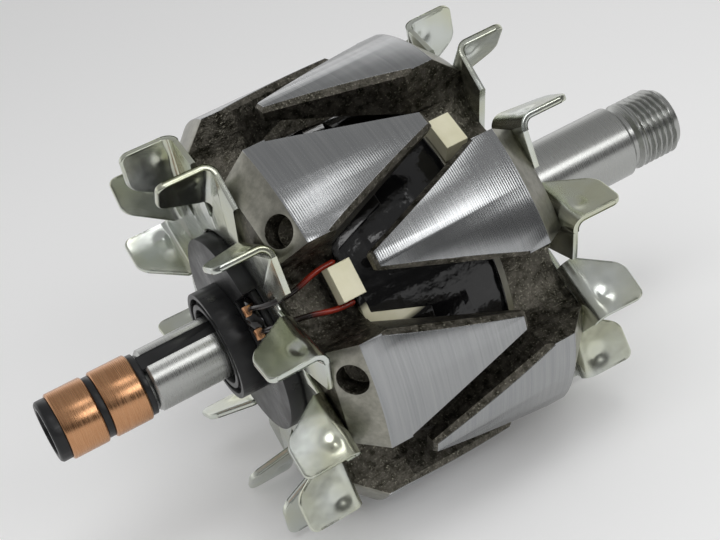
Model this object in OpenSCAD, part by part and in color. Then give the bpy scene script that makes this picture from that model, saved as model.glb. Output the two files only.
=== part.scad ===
// Claw-pole alternator rotor, millimetres. The shaft runs along X with the threaded
// drive end towards +X; X = 0 is the outer face of the front fan, where the drive-end
// bearing seat leaves the drum. Angles are counted about the shaft from +Z towards +Y.

/* [Drum and claws] */
// Outside diameter of the turned claw drum
drum_d = 91; // [80:0.5:105]
// Length of the turned drum between its two shoulders
drum_len = 44.3; // [40:0.1:52]
// Claws on each pole
claws = 6; // [6:1:8]
// Turn of the rear claws from the front claws
claw_turn = 27.3; // [24:0.1:36]
// Half of the angle that a claw root covers
claw_half_angle = 16.2; // [14:0.1:17]
// Length of a claw from the drum edge to its tip
claw_len = 34.6; // [28:0.1:36]
// Half of the claw width left at its tip
tip_half_w = 2.4; // [1.5:0.1:4]
// Thickness of a claw at its tip
tip_t = 3.2; // [2:0.1:5]
// Leg of the bevel along both claw edges
claw_bevel = 1.2; // [0.4:0.1:2]
// Bevel at the claw tip
tip_bevel = 0.8; // [0.3:0.1:1.5]
// Gap between a bobbin petal and the claw over it
coil_gap = 0.8; // [0.3:0.1:2]
// Pole disc thickness inside the drum edge
pole_in = 6.5; // [5:0.1:9]
// Distance inside the pole disc where the claw flanks start to taper
root_step = 0.2; // [0.1:0.05:1]
// Height and depth of the turned 45 degree shoulder
shoulder = 6; // [4:0.1:8]
// Depth of the valley between two claws below the coil surface
valley_drop = 3; // [1:0.5:6]
// Diameter of the half core on each pole
core_d = 46; // [40:0.5:50]
// Diameter of a balance hole
balance_d = 6.8; // [5:0.1:8]
// Depth of a balance hole to the drill shoulder
balance_depth = 4.6; // [2:0.1:7]
// Depth of the drill point in a balance hole
drill_point = 1.972; // [1:0.001:3]
// Angle of the first balance hole
balance_a1 = -41.7; // [-50:0.1:-35]
// Angle of the second balance hole
balance_a2 = -85.7; // [-95:0.1:-78]

/* [Fans] */
// Sheet thickness of both fans
fan_t = 1.4; // [1:0.1:2]
// Blades on each fan
blades = 12; // [10:1:12]
// Angle of the first blade
blade_turn = 17.8; // [0:0.1:30]
// Height of the rear fan over the pole face
rear_fan_h = 12.8; // [9:0.1:16]
// Height of the front fan over the pole face
front_fan_h = 12.1; // [9:0.1:16]
// Lean of a blade from the radius
blade_lean = 31; // [25:0.5:36]
// Distance of the middle of a blade inside the drum surface
blade_inset = 4; // [3.5:0.1:6]
// Length of a blade at its free edge
blade_free_len = 8.2; // [6:0.1:9]
// Length of a blade at its fold
blade_root_len = 14.2; // [12:0.1:15]
// Shift of the fold towards the shaft from the middle of the blade
fold_shift = 3.2; // [2:0.1:4]
// Inside radius of the fold
fold_r = 1.1; // [0.6:0.1:2]
// Radius of the two free corners of a blade
blade_corner_r = 1.5; // [0.5:0.1:2.5]
// Gap between the lead disc and the hole in the fan plate
disc_gap = 0.4; // [0.2:0.1:1]
// Width of the ring that joins the fan teeth
fan_ring_w = 4.5; // [3:0.1:6]
// Distance of the outer ear of a tooth inside the drum surface
ear_inset = 6; // [4.5:0.1:8]
// Angle of the straight tooth edge behind the blade
ear_a = 15; // [13:0.1:16]

/* [Shaft] */
// Diameter of the drive-end bearing seat
drive_d = 17; // [15:0.1:20]
// Length of the drive-end shaft from the front fan face to its shoulder
drive_len = 37.1; // [30:0.1:50]
// Outside diameter of the pulley thread
thread_d = 16; // [14:0.5:16]
// Length of the thread with its run-out
thread_len = 12.9; // [10:0.1:20]
// Width of the run-out groove behind the thread
runout_w = 1.3; // [0.8:0.1:2.5]
// Diameter of the run-out groove
runout_d = 14.2; // [12:0.1:15]
// Bevel at the end of the thread
thread_bevel = 1; // [0.5:0.1:2]
// Pressed seat of the poles on the shaft
seat_d = 18; // [17:0.1:22]
// Diameter of the rear bearing seat
rear_d = 14.2; // [12:0.1:15]
// Rear end of the bearing seat, behind the drum edge
rear_end = 33.1; // [28:0.1:36]
// Diameter of the spigot under the slip rings
spigot_d = 9.2; // [8:0.1:9.4]
// Edge bevel of the shaft shoulders
shaft_bevel = 0.8; // [0.3:0.1:1.5]
// Width of the lead slot in the shaft
slot_w = 3.6; // [2.5:0.1:4]
// Floor of the lead slot, from the shaft axis
slot_floor = 4.9; // [4.8:0.1:5.4]
// Distance from the end of the slot to the pole face
slot_end = 0.5; // [0.3:0.1:2]
// Depth of the lead bar below the shaft surface
bar_sink = 0.35; // [0.2:0.05:0.6]
// Angle of the lead slot
slot_a = -23.2; // [-30:0.1:-15]

/* [Slip rings and leads] */
// Outside diameter of a slip ring
ring_d = 14.9; // [13:0.1:18]
// Wall of a slip ring
ring_wall = 1.3; // [0.8:0.1:1.6]
// Broken edge of a slip ring
ring_bevel = 0.3; // [0.1:0.1:0.5]
// Width of the outer slip ring
outer_ring_w = 8.3; // [7:0.1:9]
// Width of the inner slip ring
inner_ring_w = 8.5; // [7:0.1:9]
// Insulating rib between the slip rings
rib_w = 1.6; // [1:0.1:3]
// Sleeve beyond the outer slip ring
lip_w = 2.6; // [1.5:0.1:4]
// Diameter of the sleeve at its lip and rib
lip_d = 13.8; // [13.4:0.1:14.6]
// Flange behind the inner slip ring
flange_w = 1.4; // [0.8:0.1:2]
// Gap between the sleeve and the bearing seat
sleeve_gap = 0.5; // [0.2:0.1:1]
// Depth of the open end of the sleeve
sleeve_recess = 2.2; // [1:0.1:4]
// Step from the spigot to the open end of the sleeve
recess_step = 0.6; // [0.3:0.1:1.2]
// Edge bevel of the sleeve, and gap of the potting inside the disc rim
moulding_bevel = 0.5; // [0.2:0.1:0.8]
// Outside diameter of the lead disc
disc_d = 45.2; // [42:0.1:45.4]
// Height of the lead disc over the pole face
disc_h = 5; // [4:0.1:7]
// Outside diameter of the lead collar
collar_d = 24.8; // [22:0.1:28]
// Height of the lead collar over the lead disc
collar_h = 5.6; // [3:0.1:8]
// Bore of the lead collar
collar_bore_d = 17.4; // [16.4:0.1:19]
// Width of the ring groove in the collar face
collar_groove_w = 1.3; // [0.8:0.1:1.6]
// Depth of the ring groove in the collar face
collar_groove_depth = 1.6; // [0.5:0.1:2.5]
// Angle of the lead pocket in the disc
pocket_a = -58.5; // [-65:0.1:-50]
// Width of the lead pocket
pocket_w = 11.5; // [9:0.1:14]
// Depth of the lead pocket
pocket_depth = 3.2; // [2:0.1:4]
// Thickness of the potting in the lead pocket
resin_t = 1.2; // [0.6:0.1:2]
// Width of a terminal strip
terminal_w = 2.2; // [1.5:0.1:3]
// Thickness of a terminal strip
terminal_t = 0.8; // [0.5:0.1:1.2]
// Distance of a terminal hook inside the rim of the lead disc
hook_inset = 4; // [3:0.1:6]
// Distance between the two terminals
terminal_pitch = 5.2; // [4:0.1:7]

/* [Coil] */
// Thickness of the bobbin flanges and tube
bobbin_t = 1.2; // [0.8:0.1:1.6]
// Rim left on the bobbin flange between two petals
petal_lip = 0.4; // [0.2:0.1:1]
// Step of a tab from the coil side of its flange
tab_step = 0.2; // [0.1:0.05:0.6]
// Depth of the winding
winding_t = 8; // [6:0.1:9]
// Thickness of the coil wrap
wrap_t = 0.8; // [0.5:0.1:1.2]
// Thickness of a bobbin petal
petal_t = 0.8; // [0.5:0.1:1]
// Length of a petal from the bobbin flange
petal_len = 14; // [10:0.1:16]
// Half of the angle that a petal root covers
petal_half_angle = 17.8; // [14:0.1:20]
// Half of the angle that a petal covers at its end
petal_end_angle = 9; // [5:0.1:12]
// Width of a lead tab on the bobbin
tab_w = 7.6; // [5:0.1:9]
// Length of a lead tab along the shaft
tab_len = 5; // [3:0.1:6]
// Distance of the top of a lead tab inside the drum surface
tab_inset = 6.5; // [5:0.1:8]
// Depth of the foot of a lead tab in the coil wrap
tab_foot = 0.6; // [0.3:0.1:0.7]
// Angle of the lead tab at the rear pole
rear_tab_a = -61.2; // [-66:0.1:-57]
// Angle of the tab at the front pole
front_tab_a = -34.2; // [-38:0.1:-28]
// Diameter of the enamelled lead wire
wire_d = 1.2; // [0.8:0.1:1.5]
// Length of lead wire that lies beside the tab
lead_tail = 3; // [2:0.1:4]
// Height of a lead wire over the floor of the valley
lead_lift = 2; // [1:0.1:4]

/* [Part] */
// Sub-part to draw

/* [Hidden] */
$fn = 64;
drum_r = drum_d / 2;
x_front = -fan_t - shoulder;
x_rear = x_front - drum_len;
x_rear_face = x_rear - shoulder;
x_seat_end = x_rear - rear_end;
x_sleeve_in = x_seat_end - sleeve_gap;
x_inner_ring = x_sleeve_in - flange_w - inner_ring_w;
x_outer_ring = x_inner_ring - rib_w - outer_ring_w;
x_sleeve_out = x_outer_ring - lip_w;
x_disc = x_rear_face - disc_h;
core_r = core_d / 2;
wrap_r = core_r + bobbin_t + winding_t + wrap_t;
petal_r = wrap_r + petal_t;
claw_root_r = petal_r + coil_gap;
pitch = 360 / claws;
valley_r = wrap_r - valley_drop;
valley_a = pitch / 2 - claw_half_angle;
valley_c = valley_r / (1 - sin(valley_a));
valley_rho = valley_c * sin(valley_a);
claw_run = claw_len - pole_in;
tip_shift = drum_r * sin(claw_half_angle) - tip_half_w * cos(claw_half_angle);
claw_taper = atan(tip_shift / claw_run);
edge_fall = atan((drum_r - sqrt(drum_r * drum_r - tip_shift * tip_shift)) / claw_run);
bevel_block = 7.5 * claw_bevel;
fold_out = fold_r + fan_t;
fold_outer = blade_root_len / 2 - fold_shift;
fold_inner = fold_outer - blade_root_len;
blade_mid_r = drum_r - blade_inset;
fan_hole_r = disc_d / 2 + disc_gap;
fan_ring_r = fan_hole_r + fan_ring_w;
ear_r = drum_r - ear_inset;
hook_r = disc_d / 2 - hook_inset;
flange_in = pole_in + bobbin_t;
tab_r = drum_r - tab_inset;
// Overshoot of a cut past the solid, and the laps that keep joined faces out of one plane
over = 1;
cut_lap = 0.15;
bevel_run = 3.4;
drill_flat = 0.01;
fold_lap = 0.2;
bend_lap = 0.3;
bend_swell = 0.06;

// Turns a piece drawn round +Z into the shaft direction: its +Z points to the rear
module rearward(x) translate([x, 0, 0]) rotate([0, -90, 0]) children();

// The same piece for the drive end, mirrored so its +Z points to the front
module forward(x) translate([x, 0, 0]) mirror([1, 0, 0]) rotate([0, -90, 0]) children();

// Tube along +Z
module tube(r_out, r_in, z0, z1)
  translate([0, 0, z0]) difference() {
    cylinder(r = r_out, h = z1 - z0);
    translate([0, 0, -over]) cylinder(r = r_in, h = z1 - z0 + 2 * over);
  }

// One valley between two claws, as a plan seen along the shaft
module valley() {
  translate([valley_c, 0]) circle(r = valley_rho + cut_lap);
  tx = valley_c * cos(valley_a) * cos(valley_a);
  ty = valley_c * cos(valley_a) * sin(valley_a);
  out = drum_r + shoulder;
  polygon([[tx, -ty], [out, -out * tan(valley_a)], [out, out * tan(valley_a)], [tx, ty]]);
}

// Block beside a claw whose inner face is the leaning, tapering flank
module claw_flank()
  rotate([0, 0, claw_half_angle]) translate([0, 0, root_step - pole_in]) rotate([-claw_taper, 0, 0])
    translate([core_r + bobbin_t, 0, -drum_len]) cube([drum_r, drum_r, 2 * drum_len]);

// Space between two claws past the pole disc
module claw_gap()
  intersection() {
    rotate([0, 0, -pitch / 2]) claw_flank();
    rotate([0, 0, pitch / 2]) mirror([0, 1, 0]) claw_flank();
    translate([0, -drum_d, -drum_len]) cube([drum_d, 2 * drum_d, drum_len - pole_in - cut_lap]);
  }

// Bevel along one long edge of a claw, running out at the root
module claw_edge()
  rotate([0, 0, claw_half_angle]) translate([0, 0, -pole_in]) rotate([-claw_taper, 0, 0])
    rotate([0, edge_fall, 0]) translate([drum_r - claw_bevel, 0, -drum_len]) rotate([0, 0, -45])
      translate([-bevel_block / 3, 0, 0]) cube([bevel_block, bevel_block, drum_len + bevel_run]);

// Pole piece: star disc with its turned shoulder, half core, and the claws; +Z is outward
module pole() {
  difference() {
    rotate_extrude() polygon([[seat_d / 2, shoulder], [drum_r - shoulder, shoulder], [drum_r, 0],
      [drum_r, tip_bevel - claw_len], [drum_r - tip_bevel, -claw_len], [drum_r - tip_t, -claw_len],
      [claw_root_r, -pole_in], [core_r, -pole_in], [core_r, -drum_len / 2], [seat_d / 2, -drum_len / 2]]);
    for (i = [0 : claws - 1]) rotate([0, 0, pitch * (i + 0.5)]) {
      translate([0, 0, -pole_in - 2 * cut_lap])
        linear_extrude(height = pole_in + shoulder + over + 2 * cut_lap) valley();
      claw_gap();
    }
    for (i = [0 : claws - 1]) rotate([0, 0, pitch * i]) {
      claw_edge();
      mirror([0, 1, 0]) claw_edge();
    }
  }
}

// Blind hole drilled square to the turned shoulder
module balance_hole(a)
  rotate([0, 0, a]) translate([drum_r - shoulder / 2, 0, shoulder / 2]) rotate([0, 45, 0]) {
    translate([0, 0, -balance_depth]) cylinder(d = balance_d, h = balance_depth + shoulder);
    translate([0, 0, -balance_depth - drill_point])
      cylinder(d1 = drill_flat, d2 = balance_d, h = drill_point);
  }

// Outline of a fan tooth: folded edge, sloping outer edge, ear and straight rear edge
module tooth() {
  c = cos(blade_lean);
  s = sin(blade_lean);
  off = fold_r + fan_t / 2 + fold_lap;
  fx = blade_mid_r - off * s;
  fy = -off * c;
  root_r = fan_ring_r - over;
  inner = (root_r - blade_mid_r) / c - 2 * over;
  polygon([[fan_hole_r + over, 2 * over], [fx + inner * c, fy - inner * s],
           [fx + fold_outer * c, fy - fold_outer * s], [ear_r * cos(ear_a), -ear_r * sin(ear_a)],
           [root_r * cos(ear_a), -root_r * sin(ear_a)]]);
}

// One blade with its fold, standing on the plate: X along the fold, Y away from the tooth
module blade(h) {
  half = blade_free_len / 2;
  rc = blade_corner_r;
  intersection() {
    translate([fold_inner, 0, 0]) rotate([90, 0, 90]) linear_extrude(height = blade_root_len + 2 * over) {
      translate([-over, 0]) square([over, fan_t]);
      translate([fold_r, fold_out]) square([fan_t, h - fold_out]);
      intersection() {
        translate([0, fold_out]) difference() {
          circle(r = fold_out);
          circle(r = fold_r);
        }
        square([fold_out + over, fold_out]);
      }
    }
    translate([0, fold_out + over, 0]) rotate([90, 0, 0]) linear_extrude(height = fold_out + 2 * over)
      polygon([[fold_inner, -over], [fold_inner, fold_out], [-half - 0.3 * rc, h - rc],
               [-half + 0.2 * rc, h - 0.35 * rc], [-half + rc, h], [half - rc, h],
               [half - 0.3 * rc, h - 0.3 * rc], [half, h - rc], [fold_outer, fold_out], [fold_outer, -over]]);
  }
}

// Stamped fan with its blades folded up; +Z is outward
module fan(h) {
  difference() {
    union() {
      linear_extrude(height = fan_t) {
        circle(r = fan_ring_r);
        for (i = [0 : blades - 1]) rotate(i * 360 / blades) tooth();
      }
      for (i = [0 : blades - 1]) rotate([0, 0, i * 360 / blades]) translate([blade_mid_r, 0, 0])
        rotate([0, 0, -blade_lean]) translate([0, -fold_r - fan_t / 2, 0]) blade(h);
    }
    translate([0, 0, -over]) cylinder(r = fan_hole_r, h = fan_t + 2 * over);
  }
}

// Turned steel shaft with the drive-end seat, thread, rear seat, spigot and lead slot
module shaft() color("#9a9c9b") {
  b = shaft_bevel;
  r1 = spigot_d / 2;
  r2 = rear_d / 2;
  r3 = seat_d / 2;
  r4 = drive_d / 2;
  r5 = runout_d / 2;
  r6 = thread_d / 2;
  a0 = x_sleeve_out + sleeve_recess;
  a1 = x_seat_end;
  a2 = x_rear_face;
  a3 = -fan_t;
  a4 = drive_len;
  a5 = drive_len + thread_len;
  difference() {
    rotate([0, 90, 0]) rotate_extrude() polygon([[0, a0], [r1, a0], [r1, a1], [r2 - b, a1], [r2, a1 + b],
      [r2, a2], [r3, a2], [r3, a3], [r4, a3], [r4, a4 - b], [r4 - b, a4], [r5, a4], [r5, a4 + runout_w],
      [r6, a4 + runout_w + r6 - r5], [r6, a5 - thread_bevel], [r6 - thread_bevel, a5], [0, a5]]);
    rotate([-slot_a, 0, 0]) translate([a1 - over, -slot_w / 2, slot_floor])
      cube([a2 - a1 + over - slot_end, slot_w, rear_d]);
  }
}

// Moulded insulating sleeve that carries the two slip rings
module slip_ring_sleeve() color("#1b1b1c") {
  bore = spigot_d / 2;
  r = lip_d / 2;
  seat = ring_d / 2 - ring_wall;
  b = moulding_bevel;
  recess = x_sleeve_out + sleeve_recess;
  rotate([0, 90, 0]) rotate_extrude() polygon([[bore, recess], [bore + recess_step, recess],
    [bore + recess_step, x_sleeve_out], [r - b, x_sleeve_out], [r, x_sleeve_out + b], [r, x_outer_ring],
    [seat, x_outer_ring], [seat, x_outer_ring + outer_ring_w], [r, x_outer_ring + outer_ring_w],
    [r, x_inner_ring], [seat, x_inner_ring], [seat, x_inner_ring + inner_ring_w],
    [r, x_inner_ring + inner_ring_w], [r, x_sleeve_in], [bore, x_sleeve_in]]);
}

// Copper slip ring with broken edges
module slip_ring(x, w) {
  r = ring_d / 2;
  b = ring_bevel;
  rotate([0, 90, 0]) rotate_extrude() polygon([[r - ring_wall, x], [r - b, x], [r, x + b],
    [r, x + w - b], [r - b, x + w], [r - ring_wall, x + w]]);
}

module outer_slip_ring() color("#b87a4a") slip_ring(x_outer_ring, outer_ring_w);

module inner_slip_ring() color("#b87a4a") slip_ring(x_inner_ring, inner_ring_w);

// Moulded bar that carries the two leads along the shaft slot
module lead_bar() color("#1b1b1c")
  rotate([-slot_a, 0, 0]) translate([x_seat_end - sleeve_gap, -slot_w / 2, slot_floor])
    cube([x_rear_face - x_seat_end + sleeve_gap - slot_end, slot_w, rear_d / 2 - slot_floor - bar_sink]);

// Stepped collar of the lead moulding round the shaft
module lead_collar() color("#1b1b1c") rearward(x_disc)
  difference() {
    tube(collar_d / 2, collar_bore_d / 2, 0, collar_h);
    r = (collar_d + collar_bore_d) / 4;
    tube(r + collar_groove_w / 2, r - collar_groove_w / 2, collar_h - collar_groove_depth, collar_h + over);
  }

// Lead disc on the rear pole face, with the pocket for the terminals
module lead_disc() color("#232324") rearward(x_rear_face)
  difference() {
    tube(disc_d / 2, rear_d / 2, 0, disc_h);
    rotate([0, 0, pocket_a]) translate([collar_d / 2, -pocket_w / 2, disc_h - pocket_depth])
      cube([disc_d, pocket_w, disc_h]);
  }

// Potting that fills the floor of the lead pocket
module lead_resin() color("#151210") rearward(x_disc + pocket_depth) rotate([0, 0, pocket_a])
  intersection() {
    translate([collar_d / 2, -pocket_w / 2, 0]) cube([disc_d, pocket_w, resin_t]);
    cylinder(r = disc_d / 2 - moulding_bevel, h = resin_t);
  }

// Copper strip that ends in a hook closed on the lead wire
module terminal(side) rearward(x_disc + pocket_depth - resin_t) rotate([0, 0, pocket_a])
  translate([0, side * terminal_pitch / 2, 0]) {
    translate([collar_d / 2, -terminal_w / 2, 0]) cube([hook_r - collar_d / 2, terminal_w, terminal_t]);
    translate([hook_r, terminal_w / 2, wire_d / 2 + terminal_t]) rotate([90, 0, 0]) difference() {
      cylinder(r = wire_d / 2 + terminal_t, h = terminal_w);
      translate([0, 0, -over]) cylinder(r = wire_d / 2, h = terminal_w + 2 * over);
    }
  }

module outer_ring_terminal() color("#b8734a") terminal(1);

module inner_ring_terminal() color("#b8734a") terminal(-1);

// Rear fan of zinc-plated sheet
module rear_fan() color("#a9aca0") rearward(x_rear_face) rotate([0, 0, blade_turn]) fan(rear_fan_h);

// Forged rear pole with its two balance holes
module rear_pole() color("#6d6a62") rearward(x_rear)
  difference() {
    rotate([0, 0, claw_turn]) pole();
    balance_hole(balance_a1);
    balance_hole(balance_a2);
  }

// One end of the bobbin: flange with its petals folded over the coil; +Z is outward
module bobbin_end(turn)
  difference() {
    rotate_extrude() polygon([[core_r, -pole_in], [petal_r, -pole_in], [petal_r, -pole_in - petal_len],
      [wrap_r, -pole_in - petal_len], [wrap_r, -flange_in], [core_r, -flange_in]]);
    for (i = [0 : claws - 1]) rotate([0, 0, turn + pitch * (i + 0.5)]) petal_gap();
  }

// Space between two petals
module petal_gap() {
  z0 = flange_in + petal_lip;
  z1 = pole_in + petal_len + over;
  w0 = wrap_r * sin(pitch / 2 - petal_half_angle);
  w1 = wrap_r * sin(pitch / 2 - petal_end_angle);
  translate([core_r, 0, 0]) rotate([0, 90, 0]) linear_extrude(height = drum_r)
    polygon([[z0, -w0], [z1, -w1], [z1, w1], [z0, w0]]);
}

// Tab of the bobbin that stands in a valley; +Z is outward
module tab(a)
  rotate([0, 0, a]) translate([wrap_r - tab_foot, -tab_w / 2, tab_step - flange_in])
    cube([tab_r - wrap_r + tab_foot, tab_w, tab_len]);

// Moulded bobbin with its flanges, petals and tabs
module coil_bobbin() color("#cfc9a8") {
  rearward(x_rear) {
    bobbin_end(claw_turn);
    tab(rear_tab_a);
  }
  forward(x_front) {
    bobbin_end(0);
    tab(front_tab_a);
  }
  rearward(x_front) tube(core_r + bobbin_t, core_r, pole_in, drum_len - pole_in);
}

// Field winding on the bobbin
module field_coil() color("#7c3b22") rearward(x_front)
  tube(wrap_r - wrap_t, core_r + bobbin_t, flange_in, drum_len - flange_in);

// Varnished black wrap round the winding
module coil_wrap() color("#141414") rearward(x_front)
  tube(wrap_r, wrap_r - wrap_t, flange_in, drum_len - flange_in);

// Straight piece of lead wire that runs a little past both of its ends
module wire(p, q, d) {
  run = q - p;
  n = norm(run);
  past = d * bend_lap;
  translate(p) rotate([0, acos(run[2] / n), atan2(run[1], run[0])]) translate([0, 0, -past])
    cylinder(d = d, h = n + 2 * past);
}

// Lead wire through a list of points, with every other piece a touch thicker so the bends close
module lead(points)
  for (i = [0 : len(points) - 2]) wire(points[i], points[i + 1], wire_d * (1 + bend_swell * (i % 2)));

// Lead from the winding over the tab to a terminal; side is the terminal it meets
module coil_lead(side) rearward(x_rear) {
  a = rear_tab_a;
  y = side * terminal_pitch / 2;
  pc = cos(pocket_a);
  ps = sin(pocket_a);
  r0 = wrap_r + wire_d / 2;
  pass_r = valley_r + lead_lift;
  t = side * (tab_w / 2 + wire_d / 2);
  za = tab_len - flange_in;
  zp = shoulder + disc_h - pocket_depth + resin_t + terminal_t + wire_d / 2;
  lead([[r0 * cos(a) - t * sin(a), r0 * sin(a) + t * cos(a), za - lead_tail],
        [r0 * cos(a) - t * sin(a), r0 * sin(a) + t * cos(a), za + wire_d],
        [pass_r * cos(a) - t / 2 * sin(a), pass_r * sin(a) + t / 2 * cos(a), shoulder + over],
        [disc_d / 2 * pc - y * ps, disc_d / 2 * ps + y * pc, zp],
        [hook_r * pc - y * ps, hook_r * ps + y * pc, zp]]);
}

module coil_start_lead() color("#8c2f1c") coil_lead(1);

module coil_finish_lead() color("#8c2f1c") coil_lead(-1);

// Forged front pole
module front_pole() color("#6d6a62") forward(x_front) pole();

// Front fan of zinc-plated sheet
module front_fan() color("#a9aca0") forward(-fan_t) rotate([0, 0, blade_turn]) fan(front_fan_h);

shaft();
slip_ring_sleeve();
outer_slip_ring();
inner_slip_ring();
lead_bar();
lead_collar();
lead_disc();
lead_resin();
outer_ring_terminal();
inner_ring_terminal();
rear_fan();
rear_pole();
coil_bobbin();
field_coil();
coil_wrap();
coil_start_lead();
coil_finish_lead();
front_pole();
front_fan();
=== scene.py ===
"""Claw-pole alternator rotor: turned shaft, forged claws, stamped fans, slip rings and coil leads."""

import bmesh
import bpy
import numpy as np
from mathutils import Matrix, Vector


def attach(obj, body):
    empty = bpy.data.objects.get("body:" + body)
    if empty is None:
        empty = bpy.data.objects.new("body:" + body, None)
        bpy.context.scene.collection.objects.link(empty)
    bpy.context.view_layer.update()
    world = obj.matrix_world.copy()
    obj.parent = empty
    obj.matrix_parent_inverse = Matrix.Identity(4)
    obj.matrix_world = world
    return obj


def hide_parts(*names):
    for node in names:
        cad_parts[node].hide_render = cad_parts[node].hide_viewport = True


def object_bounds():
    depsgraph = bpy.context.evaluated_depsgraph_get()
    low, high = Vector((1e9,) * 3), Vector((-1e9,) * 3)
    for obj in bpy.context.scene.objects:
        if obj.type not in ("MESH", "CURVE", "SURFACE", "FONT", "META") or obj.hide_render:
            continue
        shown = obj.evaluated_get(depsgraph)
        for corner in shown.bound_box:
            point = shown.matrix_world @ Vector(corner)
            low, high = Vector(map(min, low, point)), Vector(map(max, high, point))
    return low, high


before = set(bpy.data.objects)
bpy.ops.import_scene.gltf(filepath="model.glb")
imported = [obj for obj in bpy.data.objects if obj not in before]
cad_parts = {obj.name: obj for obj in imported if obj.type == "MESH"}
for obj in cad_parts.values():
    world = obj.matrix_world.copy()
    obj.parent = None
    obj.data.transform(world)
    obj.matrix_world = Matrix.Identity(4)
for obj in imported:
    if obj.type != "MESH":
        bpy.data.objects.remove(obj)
cad_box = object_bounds()

# Shaft: one bar of medium-carbon steel, turned between centres and ground on its bearing seats.
# The nut thread is rolled on the drive end, and a slot milled along the rear seat takes the leads.
MM = 0.001
SPIGOT_R = 4.6 * MM
REAR_R = 7.1 * MM
POLE_SEAT_R = 9.0 * MM
DRIVE_R = 8.5 * MM
RUNOUT_R = 7.1 * MM
THREAD_R = 8.0 * MM
THREAD_PITCH = 1.5 * MM
THREAD_DEPTH = 0.85 * MM
SHOULDER_BEVEL = 0.8 * MM
END_BEVEL = 1.0 * MM
SPIGOT_X = -105.5 * MM
REAR_X = -84.8 * MM
POLE_SEAT_X = (-57.7 * MM, -1.4 * MM)
DRIVE_END_X = 37.1 * MM
RUNOUT_W = 1.3 * MM
SHAFT_END_X = 50.0 * MM
SLOT_ANGLE = np.radians(-23.2)
SLOT_HALF_W = 1.8 * MM
SLOT_FLOOR = 4.9 * MM
SLOT_END_X = -58.2 * MM
SLOT_WALL_SHARE = 0.999
SLOT_WALL_RUN = 0.01 * MM
THREAD_FLAT = 0.15
STEPS_PER_PITCH = 16
STEPS_ROUND = 180
SAME_POINT = 0.0001 * MM
SHARP_ANGLE = np.radians(35)


def linear(hex_colour):
    """sRGB hex to linear RGBA: ((c + 0.055) / 1.055) ** 2.4 above the toe, c / 12.92 below it."""
    c = np.array([int(hex_colour[i:i + 2], 16) for i in (1, 3, 5)]) / 255
    return (*np.where(c > 0.04045, ((c + 0.055) / 1.055) ** 2.4, c / 12.92), 1.0)


def add(tree, kind, links=(), **settings):
    """Adds a node. A setting is one of its properties or, with in_ before it, the value of an input by
    index or name; links are pairs of an input and the output that feeds it. Returns the first live output."""
    made = tree.nodes.new("ShaderNode" + kind)
    for key, value in settings.items():
        if key.startswith("in_"):
            socket = key[3:].replace("_", " ")
            made.inputs[int(socket) if socket.isdigit() else socket].default_value = value
        else:
            setattr(made, key, value)
    for socket, source in links:
        tree.links.new(source, made.inputs[socket])
    return next(out for out in made.outputs if out.enabled)


def material(name, **constants):
    """A material with constants on its Principled shader. Returns it, its tree, a function that links
    an output to one of the shader's inputs, and the Object coordinates."""
    made = bpy.data.materials.new(name)
    made.use_nodes = True
    tree = made.node_tree
    shader = tree.nodes["Principled BSDF"]
    for key, value in constants.items():
        shader.inputs[key.replace("_", " ")].default_value = value
    coordinates = tree.nodes.new("ShaderNodeTexCoord").outputs["Object"]
    return made, tree, lambda socket, source: tree.links.new(source, shader.inputs[socket]), coordinates


def surface(name, grids, made, slot, closed_u=False):
    """Quads over one or more rows x columns x 3 grids of points, with doubles merged, faces outward and
    steep edges kept sharp; closed_u joins the last column to the first. A piece with a slot rides on
    the rotor, and one without is for the stage."""
    points, quads, start = [], [], 0
    for grid in grids:
        rows, cols = grid.shape[:2]
        r, c = np.meshgrid(np.arange(rows - 1), np.arange(cols if closed_u else cols - 1), indexing="ij")
        n = (c + 1) % cols
        corners = np.stack([r * cols + c, r * cols + n, (r + 1) * cols + n, (r + 1) * cols + c], -1)
        quads += (corners.reshape(-1, 4) + start).tolist()
        points += grid.reshape(-1, 3).tolist()
        start += rows * cols
    mesh = bpy.data.meshes.new(name)
    mesh.from_pydata(points, [], quads)
    work = bmesh.new()
    work.from_mesh(mesh)
    bmesh.ops.remove_doubles(work, verts=work.verts, dist=SAME_POINT)
    bmesh.ops.recalc_face_normals(work, faces=work.faces)
    work.to_mesh(mesh)
    work.free()
    mesh.shade_smooth()
    mesh.set_sharp_from_angle(angle=SHARP_ANGLE)
    mesh.materials.append(made)
    piece = bpy.data.objects.new(name, mesh)
    bpy.context.scene.collection.objects.link(piece)
    if slot:
        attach(piece, "root")
    return piece


# Ground steel: bright grey, with fine lines round the bar that widen the reflections along it. The lines
# that a grinding wheel leaves are too fine to show, so they are drawn as coarse as they need to be.
GRIND_LINE = 0.15 * MM
GRIND_REACH = 7.0 * MM
GRIND_DEPTH = 0.001 * MM
steel, tree, feed, place = material("ground_steel", Metallic=1.0)
lines = add(tree, "VectorMath", [(0, place)], operation="MULTIPLY",
            in_1=(1 / GRIND_LINE, 1 / GRIND_REACH, 1 / GRIND_REACH))
lines = add(tree, "TexNoise", [("Vector", lines)], in_Scale=1.0, in_Detail=2.0)
feed("Base Color", add(tree, "Mix", [(0, lines)], data_type="RGBA",
                       in_6=linear("#a7a8a6"), in_7=linear("#aeafac")))
feed("Roughness", add(tree, "MapRange", [("Value", lines)], in_From_Min=0.3, in_From_Max=0.7,
                      in_To_Min=0.26, in_To_Max=0.3))
feed("Normal", add(tree, "Bump", [("Height", lines)], in_Distance=GRIND_DEPTH))


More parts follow.
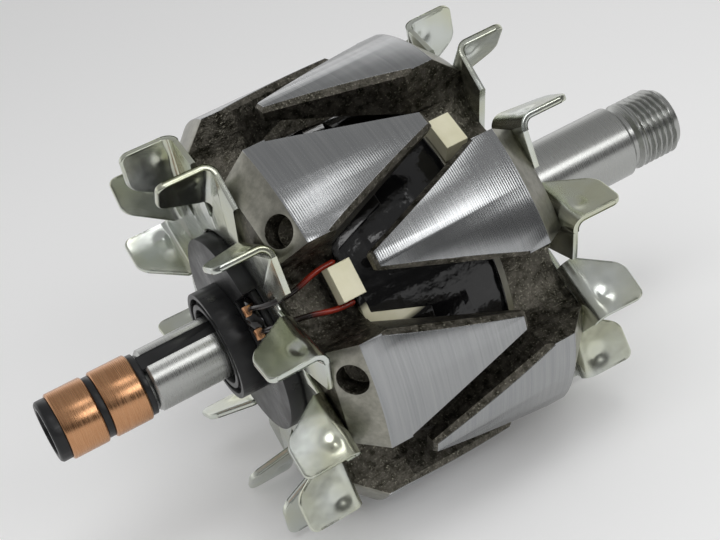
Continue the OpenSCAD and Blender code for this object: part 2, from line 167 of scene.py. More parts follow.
def shaft_surface():
    """Turned profile (x, r) carried round the shaft. On the thread r falls by the thread depth times a
    flat-topped triangle wave of x / pitch + angle / turn; in the slot r is the flat floor over the cosine."""
    thread_x = np.arange(DRIVE_END_X + RUNOUT_W + THREAD_R - RUNOUT_R, SHAFT_END_X - END_BEVEL,
                         THREAD_PITCH / STEPS_PER_PITCH)
    corners = np.array([
        (SPIGOT_X, 0), (SPIGOT_X, SPIGOT_R), (REAR_X, SPIGOT_R), (REAR_X, REAR_R - SHOULDER_BEVEL),
        (REAR_X + SHOULDER_BEVEL, REAR_R), (SLOT_END_X, REAR_R), (SLOT_END_X + SLOT_WALL_RUN, REAR_R),
        (POLE_SEAT_X[0], REAR_R), (POLE_SEAT_X[0], POLE_SEAT_R), (POLE_SEAT_X[1], POLE_SEAT_R),
        (POLE_SEAT_X[1], DRIVE_R), (DRIVE_END_X - SHOULDER_BEVEL, DRIVE_R),
        (DRIVE_END_X, DRIVE_R - SHOULDER_BEVEL), (DRIVE_END_X, RUNOUT_R), (DRIVE_END_X + RUNOUT_W, RUNOUT_R)])
    thread = np.stack([thread_x, np.full_like(thread_x, THREAD_R)], -1)
    end = np.array([(SHAFT_END_X - END_BEVEL, THREAD_R), (SHAFT_END_X, THREAD_R - END_BEVEL),
                    (SHAFT_END_X, 0)])
    x, r = np.concatenate([corners, thread, end]).T
    half = np.arcsin(SLOT_HALF_W / REAR_R)
    slot = SLOT_ANGLE + half * np.array([-1, -SLOT_WALL_SHARE, -0.5, 0, 0.5, SLOT_WALL_SHARE, 1])
    bar = np.linspace(SLOT_ANGLE + half, SLOT_ANGLE - half + 2 * np.pi, STEPS_ROUND)[1:-1]
    theta = np.concatenate([slot, bar])
    x, r, theta = x[:, None], r[:, None] + 0 * theta, theta[None, :]
    wave = 1 - np.abs(2 * ((x / THREAD_PITCH + theta / (2 * np.pi)) % 1) - 1)
    cut = THREAD_DEPTH * np.clip((wave - THREAD_FLAT) / (1 - 2 * THREAD_FLAT), 0, 1)
    fade = np.clip((x - thread_x[0]) / THREAD_PITCH, 0, 1) * np.clip((SHAFT_END_X - x) / END_BEVEL, 0, 1)
    r = r - cut * fade
    off = theta - SLOT_ANGLE
    in_slot = (np.abs(off) < (1 + SLOT_WALL_SHARE) / 2 * half) & (x >= REAR_X) & (x <= SLOT_END_X)
    r = np.where(in_slot, np.minimum(r, SLOT_FLOOR / np.cos(off)), r)
    return np.stack([x + 0 * r, r * np.sin(theta), r * np.cos(theta)], -1)


shaft = surface("turned_shaft", [shaft_surface()], steel, "ground_steel", closed_u=True)
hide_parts("shaft")

# Pole pieces: hot-forged low-carbon steel, dark and scaly from the die. After the two are pressed on
# the shaft, the outside and the 45 degree shoulders are turned bright in one setting of the lathe.
DRUM_R = 45.5 * MM
DRUM_MID = -29.55 * MM
DRUM_HALF = 22.15 * MM
TURNING_PITCH = 0.5 * MM
TURNING_DEPTH = 0.006 * MM
SCALE_GRAIN = 1.8 * MM
SCALE_SPECK = 0.45 * MM
SCALE_DEPTH = 0.12 * MM
CHATTER_REACH = 60 * TURNING_PITCH
TURNED_FADE = (0.14 * MM, 0.1 * MM)
SHOULDER_BAND = 0.15 * MM


def dress(nodes, made, edge):
    """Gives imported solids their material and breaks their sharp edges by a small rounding."""
    for name in nodes:
        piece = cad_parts[name]
        piece.data.materials.clear()
        piece.data.materials.append(made)
        weld = piece.modifiers.new("weld", "WELD")
        weld.merge_threshold = 10 * SAME_POINT
        rounding = piece.modifiers.new("edge", "BEVEL")
        rounding.width = edge
        rounding.segments = 2
        rounding.limit_method = "ANGLE"
        rounding.angle_limit = SHARP_ANGLE
        rounding.harden_normals = True


# The turned surface is bright with a groove at each turn of the lathe, the shoulder is plain satin, and
# the forged skin is dark olive brown with bright specks that are painted highlights; all are told apart by
# radius and by the cone.
forged, tree, feed, place = material("forged_and_turned_steel", Metallic=1.0)
across = add(tree, "VectorMath", [(0, place)], operation="MULTIPLY", in_1=(0, 1, 1))
radius = add(tree, "VectorMath", [(0, across)], operation="LENGTH")
along = add(tree, "SeparateXYZ", [(0, place)])
reach = add(tree, "Math", [(0, along)], operation="SUBTRACT", in_1=DRUM_MID)
reach = add(tree, "Math", [(0, reach)], operation="ABSOLUTE")
cone = add(tree, "Math", [(0, radius), (1, reach)], operation="ADD")
turned = add(tree, "MapRange", [("Value", radius)], in_From_Min=DRUM_R - TURNED_FADE[0],
             in_From_Max=DRUM_R - TURNED_FADE[1])
shoulder = add(tree, "Math", [(0, cone)], operation="COMPARE", in_1=DRUM_R + DRUM_HALF, in_2=SHOULDER_BAND)
groove = add(tree, "Math", [(0, along)], operation="MULTIPLY", in_1=2 * np.pi / TURNING_PITCH)
groove = add(tree, "Math", [(0, groove)], operation="SINE")
chatter = add(tree, "VectorMath", [(0, place)], operation="MULTIPLY",
              in_1=(1 / TURNING_PITCH, 1 / CHATTER_REACH, 1 / CHATTER_REACH))
chatter = add(tree, "TexNoise", [("Vector", chatter)], in_Scale=1.0, in_Detail=2.0)
skin = add(tree, "TexNoise", [("Vector", place)], in_Scale=1 / SCALE_GRAIN, in_Detail=6.0, in_Roughness=0.65)
speck = add(tree, "TexNoise", [("Vector", place)], in_Scale=1 / SCALE_SPECK, in_Detail=2.0)
patch = add(tree, "MapRange", [("Value", skin)], in_From_Min=0.36, in_From_Max=0.64)
# Painted highlight: pale specks mixed into the forged skin's colour stand in for glints.
painted_glint = add(tree, "MapRange", [("Value", speck)], in_From_Min=0.6, in_From_Max=0.72)
dark = add(tree, "Mix", [(0, patch)], data_type="RGBA", in_6=linear("#3a3830"), in_7=linear("#77736a"))
dark = add(tree, "Mix", [(0, painted_glint), (6, dark)], data_type="RGBA", in_7=linear("#a09d8e"))
bright = add(tree, "Mix", [(0, chatter)], data_type="RGBA", in_6=linear("#8e9092"), in_7=linear("#acadad"))
satin = add(tree, "Mix", [(0, patch)], data_type="RGBA", in_6=linear("#86857c"), in_7=linear("#9d9b91"))
colour = add(tree, "Mix", [(0, shoulder), (6, dark), (7, satin)], data_type="RGBA")
feed("Base Color", add(tree, "Mix", [(0, turned), (6, colour), (7, bright)], data_type="RGBA"))
rough = add(tree, "MapRange", [("Value", skin)], in_From_Min=0.35, in_From_Max=0.65,
            in_To_Min=0.36, in_To_Max=0.6)
rough = add(tree, "Mix", [(0, shoulder), (2, rough)], in_3=0.34)
feed("Roughness", add(tree, "Mix", [(0, turned), (2, rough)], in_3=0.24))
pits = add(tree, "Math", [(0, skin), (1, speck)], operation="ADD")
pits = add(tree, "Math", [(0, pits)], operation="MULTIPLY", in_1=SCALE_DEPTH)
pits = add(tree, "Mix", [(0, shoulder), (2, pits)], in_3=SCALE_DEPTH)
cuts = add(tree, "Math", [(0, groove), (1, chatter)], operation="ADD")
cuts = add(tree, "Math", [(0, cuts)], operation="MULTIPLY_ADD", in_1=TURNING_DEPTH, in_2=SCALE_DEPTH)
height = add(tree, "Mix", [(0, turned), (2, pits), (3, cuts)])
feed("Normal", add(tree, "Bump", [("Height", height)], in_Distance=1.0))
dress(("rear_pole", "front_pole"), forged, edge=0.3 * MM)

# Coil: enamelled copper wire wound on a nylon bobbin, taped and dipped in black impregnating varnish.
# The varnish runs over the bobbin's petals as well, and the lead tabs, which stand clear, stay ivory.
PETAL_R = 33.8 * MM
FRONT_RIM_X = -14.5 * MM
TAPE_W = 13.0 * MM
TAPE_LAP_H = 0.12 * MM
VARNISH_RUN_W = 5.0 * MM
VARNISH_RUN_H = 0.35 * MM
# Varnished tape: black and glossy; the laps of the tape and slow runs of varnish bend its reflections.
varnish, tree, feed, place = material("varnished_tape", Roughness=0.14, Base_Color=linear("#0d0d0e"))
sides = tree.nodes.new("ShaderNodeSeparateXYZ")
tree.links.new(place, sides.inputs[0])
turn = add(tree, "Math", [(0, sides.outputs["Y"]), (1, sides.outputs["Z"])], operation="ARCTAN2")
turn = add(tree, "Math", [(0, turn)], operation="DIVIDE", in_1=2 * np.pi)
lap = add(tree, "Math", [(0, sides.outputs["X"]), (2, turn)], operation="MULTIPLY_ADD", in_1=1 / TAPE_W)
lap = add(tree, "Math", [(0, lap)], operation="FRACT")
lap = add(tree, "MapRange", [("Value", lap)], in_From_Min=0.9, in_From_Max=1.0, in_To_Max=TAPE_LAP_H)
runs = add(tree, "TexNoise", [("Vector", place)], in_Scale=1 / VARNISH_RUN_W, in_Detail=3.0)
runs = add(tree, "Math", [(0, runs), (2, lap)], operation="MULTIPLY_ADD", in_1=VARNISH_RUN_H)
feed("Normal", add(tree, "Bump", [("Height", runs)], in_Distance=1.0))
dress(("coil_wrap", "field_coil"), varnish, edge=0.1 * MM)

# Ivory nylon: satin and a little cloudy where it stands clear of the dip, black and glossy below. A faint
# pale line is drawn round the front rim, and a strip of one petal beside the lead tab was wiped clean.
CLEAR_ABOVE = (PETAL_R + 0.2 * MM, PETAL_R + 0.9 * MM)
RIM_HALF_W = 0.8 * MM
RIM_PALE_SHARE = 0.2
STRIP_AT = (-40.0 * MM, -32.6 * MM, 7.6 * MM)
STRIP_REACH = (11.0 * MM, 4.0 * MM, 4.0 * MM)
CLOUD_W = 4.0 * MM
CLOUD_H = 0.25 * MM
nylon, tree, feed, place = material("varnished_ivory_nylon")
across = add(tree, "VectorMath", [(0, place)], operation="MULTIPLY", in_1=(0, 1, 1))
radius = add(tree, "VectorMath", [(0, across)], operation="LENGTH")
clear = add(tree, "MapRange", [("Value", radius)], in_From_Min=CLEAR_ABOVE[0], in_From_Max=CLEAR_ABOVE[1])
along = add(tree, "SeparateXYZ", [(0, place)])
# A faint pale line round the front rim: a fifth of the ivory is mixed into the black there.
rim = add(tree, "Math", [(0, along)], operation="COMPARE", in_1=FRONT_RIM_X, in_2=RIM_HALF_W)
rim = add(tree, "Math", [(0, rim)], operation="MULTIPLY", in_1=RIM_PALE_SHARE)
strip = add(tree, "VectorMath", [(0, place)], operation="SUBTRACT", in_1=STRIP_AT)
strip = add(tree, "VectorMath", [(0, strip)], operation="DIVIDE", in_1=STRIP_REACH)
strip = add(tree, "VectorMath", [(0, strip)], operation="LENGTH")
strip = add(tree, "MapRange", [("Value", strip)], in_From_Min=1.0, in_From_Max=0.7, in_To_Max=0.9)
bare = add(tree, "Math", [(0, clear), (1, rim)], operation="MAXIMUM")
bare = add(tree, "Math", [(0, bare), (1, strip)], operation="MAXIMUM")
cloud = add(tree, "TexNoise", [("Vector", place)], in_Scale=1 / CLOUD_W, in_Detail=3.0)
ivory = add(tree, "Mix", [(0, cloud)], data_type="RGBA", in_6=linear("#cdc8a6"), in_7=linear("#e4e0c8"))
feed("Base Color", add(tree, "Mix", [(0, bare), (7, ivory)], data_type="RGBA", in_6=linear("#0e0d0c")))
feed("Roughness", add(tree, "Mix", [(0, bare)], in_2=0.16, in_3=0.42))
feed("Normal", add(tree, "Bump", [("Height", cloud)], in_Distance=CLOUD_H))
dress(("coil_bobbin",), nylon, edge=0.2 * MM)

# Fans: low-carbon sheet, stamped to a ring of teeth whose edges are folded up as blades, each stiffened by
# a dent in its fold, then plated with zinc and spot-welded to the pole faces.
SHEET = 1.4 * MM
SHEET_EDGE = 0.45 * MM
BLADES = 12
BLADE_TURN = np.radians(17.8)
BLADE_LEAN = np.radians(31)
BLADE_R = 41.5 * MM
FOLD_R = 1.7 * MM
FOLD_X = (-10.3 * MM, 3.9 * MM)
FREE_X = (-4.1 * MM, 4.1 * MM)
FREE_CORNER = 1.6 * MM
DENT_DEPTH = 0.5 * MM
DENT_REACH = 1.5 * MM
DENT_ABOVE_FOLD = 1.2 * MM
HOLE_R = 23.0 * MM
RING_R = 27.5 * MM
EAR_R = 39.5 * MM
TOOTH_HALF = np.pi / BLADES
TOOTH_GAP = np.radians(0.001)
ROOT_LAP = 0.25 * MM
FOLD_LAP = 0.1 * MM
EDGE_EASE = 0.3
ROWS_UP = 36
ROWS_SPAN = (0.02, 0.985)
ROOT_SLIM = 0.95
COLUMNS_ACROSS = 25
COLUMNS_PER_TOOTH = 90
EDGE_STEPS = 5
# Passivated zinc: pale silver with a faint straw cast in patches; it mirrors softly and waves with the sheet.
CAST_W = 14.0 * MM
BLOOM_W = 2.5 * MM
SHEET_WAVE_W = 6.0 * MM
SHEET_WAVE_H = 0.08 * MM
zinc, tree, feed, place = material("passivated_zinc_plate", Metallic=1.0)
cast = add(tree, "TexNoise", [("Vector", place)], in_Scale=1 / CAST_W, in_Detail=3.0)
cast = add(tree, "MapRange", [("Value", cast)], in_From_Min=0.4, in_From_Max=0.68)
bloom = add(tree, "TexNoise", [("Vector", place)], in_Scale=1 / BLOOM_W, in_Detail=4.0)
feed("Base Color", add(tree, "Mix", [(0, cast)], data_type="RGBA",
                       in_6=linear("#cdd1cc"), in_7=linear("#c6c8b2")))
feed("Roughness", add(tree, "MapRange", [("Value", bloom)], in_From_Min=0.3, in_From_Max=0.7,
                      in_To_Min=0.18, in_To_Max=0.27))
sheet = add(tree, "TexNoise", [("Vector", place)], in_Scale=1 / SHEET_WAVE_W, in_Detail=2.0)
feed("Normal", add(tree, "Bump", [("Height", sheet)], in_Distance=SHEET_WAVE_H))


def blade_grid(height):
    """One blade lying along X with its fold, Y away from the tooth and Z up. A rounded-rectangle section
    is carried along the sheet, s: flat at first, then a quarter turn of the fold radius, then straight up.
    Its sides draw in from the fold to the free edge, whose corners are circles, and the dent is a bell
    pressed along the sheet's normal just above the fold."""
    bend = FOLD_R + SHEET / 2
    fold_len = np.pi / 2 * bend
    full = fold_len + height - FOLD_R - SHEET
    q = np.sin(np.linspace(-np.pi / 2, np.pi / 2, COLUMNS_ACROSS))
    arc = np.linspace(0, np.pi / 2, EDGE_STEPS)
    thick = SHEET / 2 - SHEET_EDGE
    side_n = np.concatenate([-thick - SHEET_EDGE * np.cos(arc), thick + SHEET_EDGE * np.sin(arc)])
    side_x = SHEET_EDGE * np.concatenate([np.sin(arc), np.cos(arc)])
    edge = np.ones(2 * EDGE_STEPS)
    share = np.concatenate([q, edge, -q, -edge])[None, :]
    inset = np.concatenate([0 * q, side_x - SHEET_EDGE, 0 * q, SHEET_EDGE - side_x])[None, :]
    normal = np.concatenate([0 * q - SHEET / 2, side_n, 0 * q + SHEET / 2, -side_n])[None, :]
    up = np.linspace(*ROWS_SPAN, ROWS_UP)
    v = np.concatenate([[0, 0], up, np.ones(EDGE_STEPS + 1)])[:, None]
    back = SHEET_EDGE * np.concatenate([[0, 0], -up, np.sin(arc) - 1, [0]])[:, None]
    free_edge = (thick + SHEET_EDGE * np.cos(arc)) / (SHEET / 2)
    slim = np.concatenate([[0, ROOT_SLIM], np.ones(ROWS_UP), free_edge, [0]])[:, None]
    top_half = (FREE_X[1] - FREE_X[0]) / 2
    gap = np.clip(FREE_CORNER - (1 - np.abs(share)) * top_half, 0, FREE_CORNER)
    reach = full - FREE_CORNER + np.sqrt(FREE_CORNER ** 2 - gap ** 2)
    s = v * (reach + ROOT_LAP) - ROOT_LAP + back
    rise = np.clip((s - fold_len) / (full - fold_len), 0, 1)
    left = FOLD_X[0] + (FREE_X[0] - FOLD_X[0]) * rise
    right = FOLD_X[1] + (FREE_X[1] - FOLD_X[1]) * rise
    x = (left + right) / 2 + share * (right - left) / 2 + inset
    turn = np.clip(s / bend, 0, np.pi / 2)
    y = -bend + np.minimum(s, 0) + bend * np.sin(turn)
    z = FOLD_R + SHEET - bend * np.cos(turn) + np.maximum(s - fold_len, 0)
    dent = DENT_DEPTH * np.exp(-(x ** 2 + (s - fold_len - DENT_ABOVE_FOLD) ** 2) / DENT_REACH ** 2)
    off = normal * slim - dent
    return np.stack([x, y + off * np.sin(turn), z - off * np.cos(turn)], -1)


def plate_grid():
    """The flat ring of teeth, as a rounded section round the shaft. Its outer radius at an angle is where
    the ray meets the tooth's fold line or its sloping outer edge, and never less than the ring's radius."""
    tooth = np.linspace(TOOTH_GAP - TOOTH_HALF, TOOTH_HALF - TOOTH_GAP, COLUMNS_PER_TOOTH)
    local = np.tile(tooth, BLADES)
    angle = (tooth + 2 * TOOTH_HALF * np.arange(BLADES)[:, None]).ravel()
    ray = np.stack([np.cos(local), np.sin(local)], -1)
    along = np.array([np.cos(BLADE_LEAN), -np.sin(BLADE_LEAN)])
    start = np.array([BLADE_R, 0]) - (FOLD_R + SHEET / 2 + FOLD_LAP) * np.array([-along[1], along[0]])
    tip = start + FOLD_X[1] * along
    ear = EAR_R * np.array([np.cos(TOOTH_HALF), -np.sin(TOOTH_HALF)])
    slope = tip - ear
    fold = (start[0] * along[1] - start[1] * along[0]) / (ray[:, 0] * along[1] - ray[:, 1] * along[0])
    outer = (ear[0] * slope[1] - ear[1] * slope[0]) / (ray[:, 0] * slope[1] - ray[:, 1] * slope[0])
    past_tip = local > np.arctan2(tip[1], tip[0])
    r_out = np.maximum(np.where(past_tip, fold, outer), RING_R)
    full, part = SHEET_EDGE, EDGE_EASE * SHEET_EDGE
    hole = HOLE_R + np.array([0, 0, full])[:, None] + 0 * r_out
    rim = r_out - np.array([full, part, 0, 0, part, full])[:, None]
    r = np.concatenate([hole, rim, hole[::-2]])
    z = np.array([full, SHEET - full, SHEET, SHEET, SHEET - part, SHEET - full,
                  full, part, 0, 0, full])[:, None]
    return np.stack([r * np.cos(angle), r * np.sin(angle), z + 0 * r], -1)


def fan_grids(height, face_x, outward):
    """Plate and blades set on the shaft: local Z points along X away from the drum, local X to the top."""
    def turned_by(grid, a):
        """The grid turned by the angle a round local Z."""
        x, y, z = np.moveaxis(grid, -1, 0)
        return np.stack([x * np.cos(a) - y * np.sin(a), x * np.sin(a) + y * np.cos(a), z], -1)

    one = turned_by(blade_grid(height), -BLADE_LEAN) + np.array([BLADE_R, 0, 0])
    grids = [plate_grid()] + [turned_by(one, 2 * TOOTH_HALF * i) for i in range(BLADES)]
    grids = [np.moveaxis(turned_by(grid, BLADE_TURN), -1, 0) for grid in grids]
    return [np.stack([face_x + outward * z, y, x], -1) for x, y, z in grids]


for node, height, face_x, outward in (("rear_fan", 12.8 * MM, POLE_SEAT_X[0], -1),
                                      ("front_fan", 12.1 * MM, POLE_SEAT_X[1], 1)):
    fan = surface("stamped_" + node, fan_grids(height, face_x, outward), zinc, "zinc_plated_sheet",
                  closed_u=True)
    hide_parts(node)

# Lead mouldings: glass-filled phenolic pressed round the shaft, in the slot and under the slip rings.
# It is black with a low sheen, a little greyer where the mould was worn.
FLOW_W = 5.0 * MM
FLOW_H = 0.05 * MM
phenolic, tree, feed, place = material("moulded_phenolic", Specular_IOR_Level=0.3)
flow = add(tree, "TexNoise", [("Vector", place)], in_Scale=1 / FLOW_W, in_Detail=4.0)
feed("Base Color", add(tree, "Mix", [(0, flow)], data_type="RGBA",
                       in_6=linear("#131314"), in_7=linear("#2b2b2c")))
feed("Roughness", add(tree, "MapRange", [("Value", flow)], in_From_Min=0.3, in_From_Max=0.7,
                      in_To_Min=0.26, in_To_Max=0.42))
feed("Normal", add(tree, "Bump", [("Height", flow)], in_Distance=FLOW_H))
dress(("slip_ring_sleeve", "lead_bar", "lead_collar", "lead_disc", "lead_resin"), phenolic, edge=0.15 * MM)

# Slip rings and terminals: drawn copper. The rings are moulded into the sleeve and skimmed on a lathe,
# which leaves fine lines round them; the terminals are cut from strip.
SKIM_LINE = 0.2 * MM
SKIM_REACH = 30 * SKIM_LINE
SKIM_DEPTH = 0.008 * MM
# Skimmed copper: warm and bright, drawn out along each ring by the tool lines. Those are too fine to show as
# they are, so they are drawn as coarse as they need to be.
copper, tree, feed, place = material("skimmed_copper", Metallic=1.0)
lines = add(tree, "VectorMath", [(0, place)], operation="MULTIPLY",
            in_1=(1 / SKIM_LINE, 1 / SKIM_REACH, 1 / SKIM_REACH))
lines = add(tree, "TexNoise", [("Vector", lines)], in_Scale=1.0, in_Detail=2.0)
feed("Base Color", add(tree, "Mix", [(0, lines)], data_type="RGBA",
                       in_6=linear("#b07c55"), in_7=linear("#d0a27c")))
feed("Roughness", add(tree, "MapRange", [("Value", lines)], in_From_Min=0.3, in_From_Max=0.7,
                      in_To_Min=0.2, in_To_Max=0.34))
feed("Normal", add(tree, "Bump", [("Height", lines)], in_Distance=SKIM_DEPTH))
dress(("outer_slip_ring", "inner_slip_ring", "outer_ring_terminal", "inner_ring_terminal"), copper,
      edge=0.12 * MM)

# Coil leads: enamelled copper wire, bent by hand from the coil past the bobbin tab, over the rear fan and
# into the terminal hooks. The red enamel shows near the tab, and its colour is darkened to near black further
# on.
WIRE_R = 0.6 * MM
TAB_ANGLE = np.radians(-61.2)
TAB_SIDE = 4.4 * MM
HOOK_ANGLE = np.radians(-58.5)
HOOK_SIDE = 2.6 * MM
DARKENING_X = (-55.0 * MM, -51.5 * MM)
WIRE_STEPS = 90
WIRE_SIDES = 20
WIRE_TIP = 0.12
# Wire enamel: a clear red coat with a wet gloss, its colour darkened to nearly black towards the fan.
enamel, tree, feed, place = material("red_wire_enamel", Roughness=0.18)
along = add(tree, "SeparateXYZ", [(0, place)])
# The colour goes from red at x = -51.5 mm to near black at x = -55 mm, towards the fan.
red_share = add(tree, "MapRange", [("Value", along)], in_From_Min=DARKENING_X[0], in_From_Max=DARKENING_X[1])
feed("Base Color", add(tree, "Mix", [(0, red_share)], data_type="RGBA",
                       in_6=linear("#140a07"), in_7=linear("#8a2413")))


def lead_surface(side):
    """A circle carried along a cubic B-spline past the bends of one wire, and drawn in at its two ends. A
    bend is given in millimetres by its x, its distance from the shaft along an arm and its offset to one
    side of that arm, which turns from the tab's angle at 0 to the hook's at 1."""
    tab, hook = TAB_SIDE / MM, HOOK_SIDE / MM
    bends = np.array([(-45.5, 33.6, tab, 0), (-50.2, 33.6, tab, 0), (-54.0, 33.0, 3.0, 0),
                      (-58.7, 32.0, 2.2, 0), (-61.9, 27.0, 2.4, 0.5), (-62.3, 22.6, hook, 1),
                      (-62.1, 17.0, hook, 1)])
    x, r, y, arm = (bends * (MM, MM, side * MM, 1)).T
    angle = TAB_ANGLE + (HOOK_ANGLE - TAB_ANGLE) * arm
    knots = np.stack([x, r * np.sin(angle) + y * np.cos(angle), r * np.cos(angle) - y * np.sin(angle)], -1)
    knots = np.concatenate([2 * knots[:1] - knots[1:2], knots, 2 * knots[-1:] - knots[-2:-1]])
    t = np.linspace(0, len(knots) - 3, WIRE_STEPS, endpoint=False)
    i, f = t.astype(int), (t % 1)[:, None]
    weights = ((1 - f) ** 3, 3 * f ** 3 - 6 * f ** 2 + 4, -3 * f ** 3 + 3 * f ** 2 + 3 * f + 1, f ** 3)
    path = sum(w * knots[i + k] for k, w in enumerate(weights)) / 6
    ahead = np.gradient(path, axis=0)
    ahead /= np.linalg.norm(ahead, axis=1, keepdims=True)
    up = np.cross(ahead, (0, np.sin(TAB_ANGLE), np.cos(TAB_ANGLE)))
    up /= np.linalg.norm(up, axis=1, keepdims=True)
    across = np.cross(ahead, up)
    size = WIRE_R * np.sqrt(np.clip(np.minimum(t, t[-1] - t) / WIRE_TIP, 0, 1))[:, None, None]
    phi = np.linspace(0, 2 * np.pi, WIRE_SIDES, endpoint=False)[None, :, None]
    return path[:, None] + size * (np.cos(phi) * up[:, None] + np.sin(phi) * across[:, None])


for node, side in (("coil_start_lead", 1), ("coil_finish_lead", -1)):
    wire = surface("bent_" + node, [lead_surface(side)], enamel, "enamelled_wire", closed_u=True)
    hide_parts(node)

# Potting lump: black epoxy dropped on the two terminal strips after the leads are hooked in and soldered.
# It has set as a glossy, uneven drop that leaves only the hooks and the strip ends in sight.
LUMP_X = -60.9 * MM
LUMP_R = 16.2 * MM
LUMP_HALF = (4.4 * MM, 5.4 * MM)
LUMP_H = 2.2 * MM
LUMP_STEEPNESS = 0.6
LUMP_ROWS = 25
LUMP_COLUMNS = 64
WAVE_ACROSS = (0.22, 5.0, 0.7)
WAVE_OUT = (0.12, 3.0)
RIPPLE_W = 2.0 * MM
RIPPLE_H = 0.2 * MM
# Set epoxy: black with a wet shine, which small ripples break into separate highlights.
epoxy, tree, feed, place = material("dropped_black_epoxy", Base_Color=linear("#120f0d"), Roughness=0.12)
ripple = add(tree, "TexNoise", [("Vector", place)], in_Scale=1 / RIPPLE_W, in_Detail=2.0)
feed("Normal", add(tree, "Bump", [("Height", ripple)], in_Distance=RIPPLE_H))


def lump_surface():
    """A drop over the pocket floor: the height is that of a flattened half ball times 1 plus two low sine
    waves, one across the arm and one along it, and the lower half of the same grid is the flat foot."""
    v = np.linspace(0, np.pi, LUMP_ROWS)[:, None]
    u = np.linspace(0, 2 * np.pi, LUMP_COLUMNS, endpoint=False)[None, :]
    out, side = np.sin(v) ** LUMP_STEEPNESS * np.cos(u), np.sin(v) ** LUMP_STEEPNESS * np.sin(u)
    wave = (1 + WAVE_ACROSS[0] * np.sin(WAVE_ACROSS[1] * side + WAVE_ACROSS[2])
            + WAVE_OUT[0] * np.sin(WAVE_OUT[1] * out))
    height = np.where(v < np.pi / 2, LUMP_H * np.cos(v) * wave, 0 * u)
    r, side = LUMP_R + LUMP_HALF[0] * out, LUMP_HALF[1] * side
    y = r * np.sin(HOOK_ANGLE) + side * np.cos(HOOK_ANGLE)
    z = r * np.cos(HOOK_ANGLE) - side * np.sin(HOOK_ANGLE)
    return np.stack([LUMP_X - height, y, z], -1)


surface("terminal_potting", [lump_surface()], epoxy, "black_resin", closed_u=True)

# Stage: the rotor lies on plain white studio paper under soft light, in a room that is darker behind the
# camera. The paper is matt, and glows a little to the eye and to the metal, so that it is white outside
# the shadow.
FLOOR_Z = cad_box[0][2]
FLOOR_SPAN = np.array([-3.0, 3.0])
PAPER_GLOW = 0.08
paper, tree, feed, place = material("white_studio_paper", Roughness=0.9, Base_Color=linear("#f1f1f1"),
                                    Emission_Color=(1, 1, 1, 1))
ray = tree.nodes.new("ShaderNodeLightPath").outputs
seen = add(tree, "Math", [(0, ray["Is Camera Ray"]), (1, ray["Is Glossy Ray"])], operation="MAXIMUM")
seen = add(tree, "Math", [(0, seen), (1, ray["Is Transmission Ray"])], operation="MAXIMUM")
feed("Emission Strength", add(tree, "Math", [(0, seen)], operation="MULTIPLY", in_1=PAPER_GLOW))
paper_grid = np.stack([*np.meshgrid(FLOOR_SPAN, FLOOR_SPAN), np.full((2, 2), FLOOR_Z)], -1)
floor = surface("studio_paper", [paper_grid], paper, None)

# Camera: fitted to the photograph. It looks down on the rotor from the slip-ring side, rolled so that the
# shaft rises to the right.
CAMERA_AT = Vector((-131.75, -297.3, 164.8)) * MM
CAMERA_AIM = Vector((-32.0, 0.24, 0.43)) * MM
CAMERA_ROLL = np.radians(-18.3)
CAMERA_LENS = 80.92
CAMERA_SENSOR = 36
CAMERA_NEAR = 10 * MM
camera = bpy.data.cameras.new("camera")
camera.lens = CAMERA_LENS
camera.sensor_width = CAMERA_SENSOR
camera.clip_start = CAMERA_NEAR
viewer = bpy.data.objects.new("camera", camera)
bpy.context.scene.collection.objects.link(viewer)
aim = (CAMERA_AIM - CAMERA_AT).to_track_quat("-Z", "Y").to_matrix().to_4x4()
viewer.matrix_world = Matrix.Translation(CAMERA_AT) @ aim @ Matrix.Rotation(CAMERA_ROLL, 4, "Z")
bpy.context.scene.camera = viewer

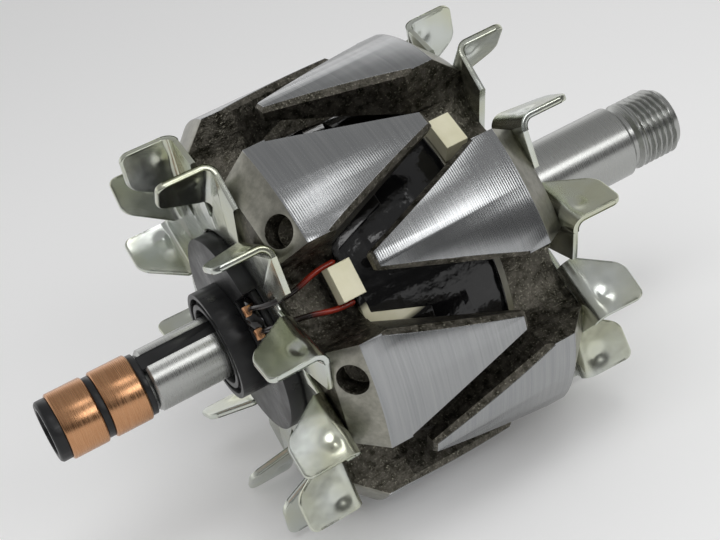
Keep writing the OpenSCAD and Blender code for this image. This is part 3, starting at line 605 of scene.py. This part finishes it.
# Room: a white wall behind the rotor, a dimmer ceiling, and dark behind the camera.
WALL_GLOW = 1.1
CEILING_GLOW = 0.4
DARK_GLOW = 0.08
world = bpy.data.worlds.new("studio")
bpy.context.scene.world = world
world.use_nodes = True
tree = world.node_tree
sky = tree.nodes["Background"]
sky.inputs["Color"].default_value = (1, 1, 1, 1)
sides = tree.nodes.new("ShaderNodeSeparateXYZ")
tree.links.new(tree.nodes.new("ShaderNodeTexCoord").outputs["Generated"], sides.inputs[0])
behind = add(tree, "MapRange", [("Value", sides.outputs["Y"])], interpolation_type="SMOOTHSTEP",
             in_From_Min=-0.45, in_From_Max=0.5, in_To_Min=DARK_GLOW, in_To_Max=WALL_GLOW)
overhead = add(tree, "MapRange", [("Value", sides.outputs["Z"])], interpolation_type="SMOOTHSTEP",
               in_From_Min=0.1, in_From_Max=0.75)
glow = add(tree, "Mix", [(0, overhead), (2, behind)], in_3=CEILING_GLOW)
tree.links.new(glow, sky.inputs["Strength"])

# Lamps: a long softbox at the side and a small one above draw the bright bands on the claws, and a wide one
# fills the shadows without a mirror image of its own.
LAMP_DISTANCE = 800 * MM


def soft_box(name, azimuth, elevation, size_mm, radiance, mirrored=True):
    """A softbox of the given width and height, at the lamp distance from the camera's aim, at a compass
    angle from +X towards +Y and a height angle. Its power is radiance x pi x area, and the metal shows it
    where mirrored is true."""
    a, e = np.radians((azimuth, elevation))
    lamp = bpy.data.lights.new(name, "AREA")
    lamp.shape = "RECTANGLE"
    lamp.size, lamp.size_y = np.array(size_mm) * MM
    lamp.energy = radiance * np.pi * lamp.size * lamp.size_y
    made = bpy.data.objects.new(name, lamp)
    towards = Vector((np.cos(e) * np.cos(a), np.cos(e) * np.sin(a), np.sin(e)))
    made.location = CAMERA_AIM + LAMP_DISTANCE * towards
    made.rotation_euler = (CAMERA_AIM - made.location).to_track_quat("-Z", "Y").to_euler()
    made.visible_glossy = mirrored
    bpy.context.scene.collection.objects.link(made)


soft_box("side", azimuth=-70, elevation=32, size_mm=(480, 200), radiance=3.8)
soft_box("top", azimuth=-72, elevation=67, size_mm=(220, 200), radiance=2.6)
soft_box("fill", azimuth=-100, elevation=60, size_mm=(700, 700), radiance=1.7, mirrored=False)
bpy.context.scene.view_settings.view_transform = "Standard"
